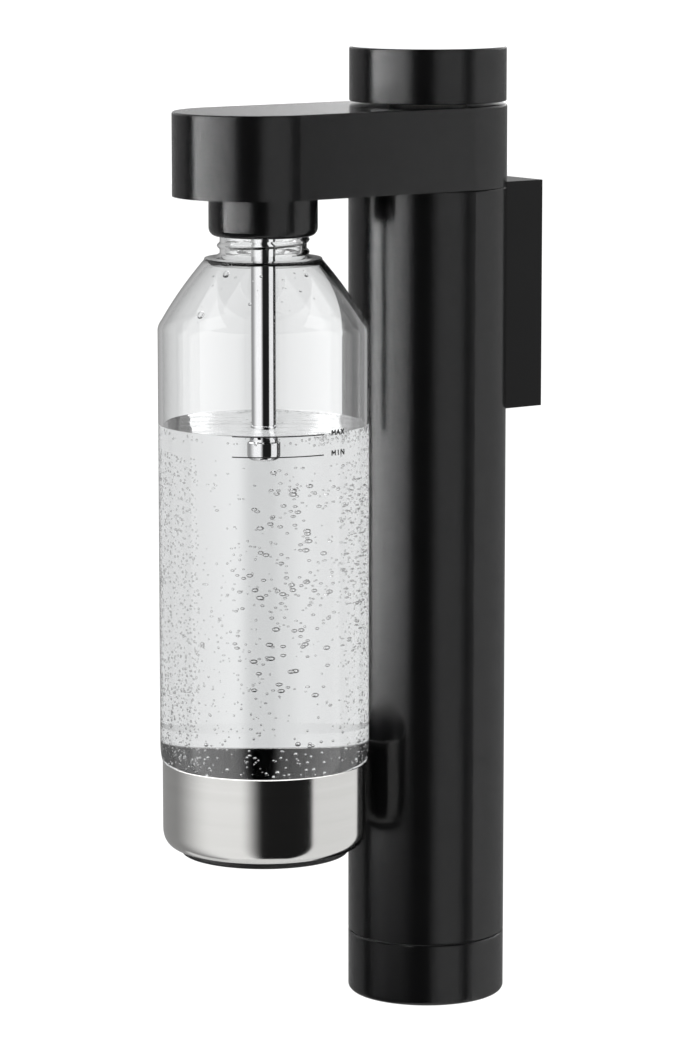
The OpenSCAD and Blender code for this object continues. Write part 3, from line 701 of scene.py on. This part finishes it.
def make_floor():
    """A plain pale floor."""
    size = FLOOR_REACH
    mesh = bpy.data.meshes.new("floor")
    mesh.from_pydata([(-size, -size, FLOOR_Z), (size, -size, FLOOR_Z), (size, size, FLOOR_Z),
                      (-size, size, FLOOR_Z)], [], [(0, 1, 2, 3)])
    floor = bpy.data.objects.new("floor", mesh)
    bpy.context.scene.collection.objects.link(floor)
    floor.data.materials.append(surface("floor_paint", (0.9, 0.9, 0.9), (0.92, 0.92, 0.92),
                                        (0.8, 0.9), scale=60, Specular_IOR_Level=0.0))
    floor.visible_glossy = False          # reflections and the bottle see the studio instead
    floor.visible_transmission = False


def band(nodes, links, angle, start, end, soft):
    """1 between two angles in degrees, 0 outside, with soft edges."""
    rise = nodes.new("ShaderNodeMapRange")
    fall = nodes.new("ShaderNodeMapRange")
    both = nodes.new("ShaderNodeMath")
    both.operation = "MULTIPLY"
    for step, low, high in ((rise, start - soft[0], start + soft[0]),
                            (fall, end + soft[1], end - soft[1])):
        step.interpolation_type = "SMOOTHSTEP"
        step.inputs["From Min"].default_value = low
        step.inputs["From Max"].default_value = high
        links.new(angle, step.inputs["Value"])
    links.new(rise.outputs["Result"], both.inputs[0])
    links.new(fall.outputs["Result"], both.inputs[1])
    return both.outputs["Value"]


def maths(nodes, links, operation, first, second):
    """One maths node. Either side may be a socket or a number."""
    step = nodes.new("ShaderNodeMath")
    step.operation = operation
    for i, value in enumerate((first, second)):
        if isinstance(value, (int, float)):
            step.inputs[i].default_value = value
        else:
            links.new(value, step.inputs[i])
    return step.outputs["Value"]


def ramp(nodes, links, source, start, end, low, high, smooth=True):
    """Follows a value from one level to another between two limits."""
    step = nodes.new("ShaderNodeMapRange")
    step.interpolation_type = "SMOOTHSTEP" if smooth else "LINEAR"
    for name, value in (("From Min", start), ("From Max", end), ("To Min", low), ("To Max", high)):
        step.inputs[name].default_value = value
    links.new(source, step.inputs["Value"])
    return step.outputs["Result"]


def make_light_wall(name, radius, pattern, receivers, shared, high=LIGHT_WALL_HIGH):
    """A round wall of soft light and dark gaps that only reflections see.

    Angles are measured from the camera's side: 0 is the camera, + is to the camera's right.
    pattern(nodes, links, angle, across, height) gives the light. With shared, all but the
    receivers see it, otherwise only they do, and other rays pass through.
    """
    mesh = bpy.data.meshes.new(name)
    low, count = LIGHT_WALL_LOW, LIGHT_WALL_SIDES
    verts, faces = [], []
    for i in range(count):
        turn = 2 * math.pi * i / count
        for z in (low, high):
            verts.append((radius * math.cos(turn), radius * math.sin(turn), z))
    for i in range(count):
        a, b = 2 * i, 2 * ((i + 1) % count)
        faces.append((a, a + 1, b + 1, b))
    mesh.from_pydata(verts, [], faces)
    wall = bpy.data.objects.new(name, mesh)
    bpy.context.scene.collection.objects.link(wall)
    wall.location = STUDIO_AXIS
    wall.rotation_euler.z = VIEWER_SIDE                 # local +X faces the camera
    wall.data.materials.append(light_pattern(name, pattern, not shared))
    for flag in ("camera", "diffuse", "transmission", "shadow", "volume_scatter"):
        setattr(wall, "visible_" + flag, False)
    group = bpy.data.collections.new(name + "_sees")
    for piece in receivers:
        group.objects.link(piece)
    wall.light_linking.receiver_collection = group
    if shared:
        for entry in group.collection_objects:
            entry.light_linking.link_state = "EXCLUDE"


def light_pattern(name, pattern, see_through):
    """Emission that follows a pattern round the wall."""
    material = bpy.data.materials.new(name)
    material.use_nodes = True
    nodes, links = material.node_tree.nodes, material.node_tree.links
    nodes.clear()
    place = nodes.new("ShaderNodeTexCoord")
    parts = nodes.new("ShaderNodeSeparateXYZ")
    links.new(place.outputs["Object"], parts.inputs["Vector"])
    turn = maths(nodes, links, "ARCTAN2", parts.outputs["Y"], parts.outputs["X"])
    angle = maths(nodes, links, "MULTIPLY", turn, 180 / math.pi)
    light = nodes.new("ShaderNodeEmission")
    output = nodes.new("ShaderNodeOutputMaterial")
    links.new(pattern(nodes, links, angle, parts.outputs["Y"], parts.outputs["Z"]),
              light.inputs["Strength"])
    shader = light.outputs["Emission"]
    if see_through:
        both = nodes.new("ShaderNodeAddShader")
        links.new(shader, both.inputs[0])
        links.new(nodes.new("ShaderNodeBsdfTransparent").outputs["BSDF"], both.inputs[1])
        shader = both.outputs["Shader"]
    links.new(shader, output.inputs["Surface"])
    return material


def studio_light(nodes, links, angle, across, height):
    """For all but the steel, the clear parts and the bracket: key light left, faint rim behind
    it, dim fill by the camera, a side light right, and a strip high at the back."""
    key = maths(nodes, links, "MULTIPLY", band(nodes, links, angle, -89, -26, (4, 8)),
                ramp(nodes, links, angle, -88, -30, 6.0, 1.8, smooth=False))
    key = maths(nodes, links, "MULTIPLY", key, ramp(nodes, links, height, -0.62, -0.38, 0.02, 1.0))
    rim = maths(nodes, links, "MULTIPLY", band(nodes, links, angle, -176, -106, (3, 6)), 0.3)
    fill = maths(nodes, links, "MULTIPLY", band(nodes, links, angle, 12, 55, (9, 9)), 0.68)
    side = maths(nodes, links, "MULTIPLY", band(nodes, links, angle, 69, 178, (7, 3)),
                 ramp(nodes, links, angle, 82, 145, 0.84, 0.25, smooth=False))
    left = maths(nodes, links, "ADD", key, rim)
    total = maths(nodes, links, "ADD", left, maths(nodes, links, "ADD", fill, side))
    behind = ramp(nodes, links, maths(nodes, links, "ABSOLUTE", angle, 0), 95, 125, 0.0, 1.0)
    strip = maths(nodes, links, "MULTIPLY", ramp(nodes, links, height, 0.06, 0.16, 0.0, 1.0),
                  ramp(nodes, links, across, -0.12, 0.12, 0.66, 1.3))
    total = maths(nodes, links, "MAXIMUM", total, maths(nodes, links, "MULTIPLY", strip, behind))
    return maths(nodes, links, "ADD", total, 0.022)


def metal_light(nodes, links, angle, across, height):
    """For the steel: two broad soft boxes with a dark gap by the camera, light from above for
    the rims, and light at the back that is strongest low down."""
    left = maths(nodes, links, "MULTIPLY", band(nodes, links, angle, -176, -15, (4, 13)),
                 ramp(nodes, links, angle, -118, -60, 0.32, 1.1))
    right = maths(nodes, links, "MULTIPLY", band(nodes, links, angle, 54, 138, (3, 16)), 0.95)
    boxes = maths(nodes, links, "ADD", maths(nodes, links, "ADD", left, right), 0.014)
    behind = ramp(nodes, links, maths(nodes, links, "ABSOLUTE", angle, 0), 110, 130, 0.0, 1.0)
    ground = maths(nodes, links, "MULTIPLY", behind,
                   ramp(nodes, links, height, -1.7, -1.3, 0.8, 0.15))
    boxes = maths(nodes, links, "MAXIMUM", boxes, ground)
    return maths(nodes, links, "MAXIMUM", boxes, ramp(nodes, links, height, 0.5, 0.9, 0.0, 2.6))


def clear_light(nodes, links, angle, across, height):
    """For bottle and water: two bright windows, and a weaker light that is dark by the camera,
    strongest at the sides and lower at the back."""
    left = maths(nodes, links, "MULTIPLY", band(nodes, links, angle, -84, -20, (3, 8)), 1.35)
    right = maths(nodes, links, "MULTIPLY", band(nodes, links, angle, 12, 90, (6, 4)),
                  ramp(nodes, links, angle, 20, 80, 0.75, 1.2))
    away = maths(nodes, links, "ABSOLUTE", angle, 0)
    sides = maths(nodes, links, "SUBTRACT", ramp(nodes, links, away, 15, 70, 0.0, 0.5),
                  ramp(nodes, links, away, 120, 155, 0.0, 0.3))
    return maths(nodes, links, "ADD", maths(nodes, links, "ADD", left, right), sides)


def knob_light(nodes, links, angle, across, height):
    """A brighter strip behind, for the knob's flat top."""
    behind = ramp(nodes, links, maths(nodes, links, "ABSOLUTE", angle, 0), 165, 172, 0.0, 1.0)
    return maths(nodes, links, "MULTIPLY", behind, ramp(nodes, links, height, 0.1, 0.16, 0.0, 1.0))


def bracket_light(nodes, links, angle, across, height):
    """A dim even light: the bracket sits in the tower's shade."""
    return ramp(nodes, links, height, -1.0, 0.2, 0.18, 0.4)


def make_world():
    """White for the camera and for soft light, grey through clear parts, dark in reflections.

    Through clear parts it is darker to the sides than straight behind the unit, as seen from
    the photograph's side. Reflections find it dark but for straight below, and get their light
    from the light walls. All of it is fixed in the room.
    """
    world = bpy.data.worlds.new("studio")
    world.use_nodes = True
    nodes, links = world.node_tree.nodes, world.node_tree.links
    background = nodes["Background"]
    background.inputs["Color"].default_value = (1, 1, 1, 1)
    path = nodes.new("ShaderNodeLightPath")
    place = nodes.new("ShaderNodeTexCoord")
    parts = nodes.new("ShaderNodeSeparateXYZ")
    links.new(place.outputs["Generated"], parts.inputs["Vector"])
    turn = maths(nodes, links, "ARCTAN2", parts.outputs["Y"], parts.outputs["X"])
    aside = maths(nodes, links, "SUBTRACT", VIEWER_SIDE + math.pi, turn)
    aside = maths(nodes, links, "ABSOLUTE", aside, 0)
    seen = ramp(nodes, links, aside, math.radians(3), math.radians(24), 0.79, 0.53)
    mirrored = ramp(nodes, links, parts.outputs["Z"], -0.95, -0.8, 0.9, 0.03)
    level = maths(nodes, links, "ADD",
                  maths(nodes, links, "MULTIPLY", path.outputs["Is Transmission Ray"], seen),
                  maths(nodes, links, "MULTIPLY", path.outputs["Is Glossy Ray"], mirrored))
    open_sky = maths(nodes, links, "MAXIMUM", path.outputs["Is Camera Ray"],
                     path.outputs["Is Diffuse Ray"])
    level = maths(nodes, links, "MAXIMUM", level,
                  maths(nodes, links, "MULTIPLY", open_sky, OPEN_LEVEL))
    links.new(level, background.inputs["Strength"])
    world.cycles.sampling_method = "NONE"       # each kind of ray finds its own level
    scene = bpy.context.scene
    scene.world = world
    scene.view_settings.view_transform = "Standard"
    scene.cycles.max_bounces = 24
    scene.cycles.transmission_bounces = 24
    scene.cycles.transparent_max_bounces = 16
    scene.cycles.glossy_bounces = 8
    scene.cycles.caustics_reflective = False


make_camera()
dress_cad_nodes()
clear = [make_bottle(), make_water(), make_bubbles(), make_droplets()]
make_fill_marks()
cup = make_cup()
make_foot()
make_spring("button_spring", 0.9, 5)
make_spring("relief_spring", 0.4, 5)
make_floor()
metal = [cup, NODES["nozzle_tube"], NODES["nozzle_tip"]]
bracket = [NODES["bracket_housing"]]
make_light_wall("studio_wall", 1.6, studio_light, metal + clear + bracket, shared=True)
make_light_wall("metal_wall", 1.58, metal_light, metal, shared=False, high=9.0)
make_light_wall("clear_wall", 1.56, clear_light, clear, shared=False)
make_light_wall("bracket_wall", 1.54, bracket_light, bracket, shared=False)
make_light_wall("knob_wall", 1.52, knob_light, [NODES["push_button"]], shared=False)
make_world()
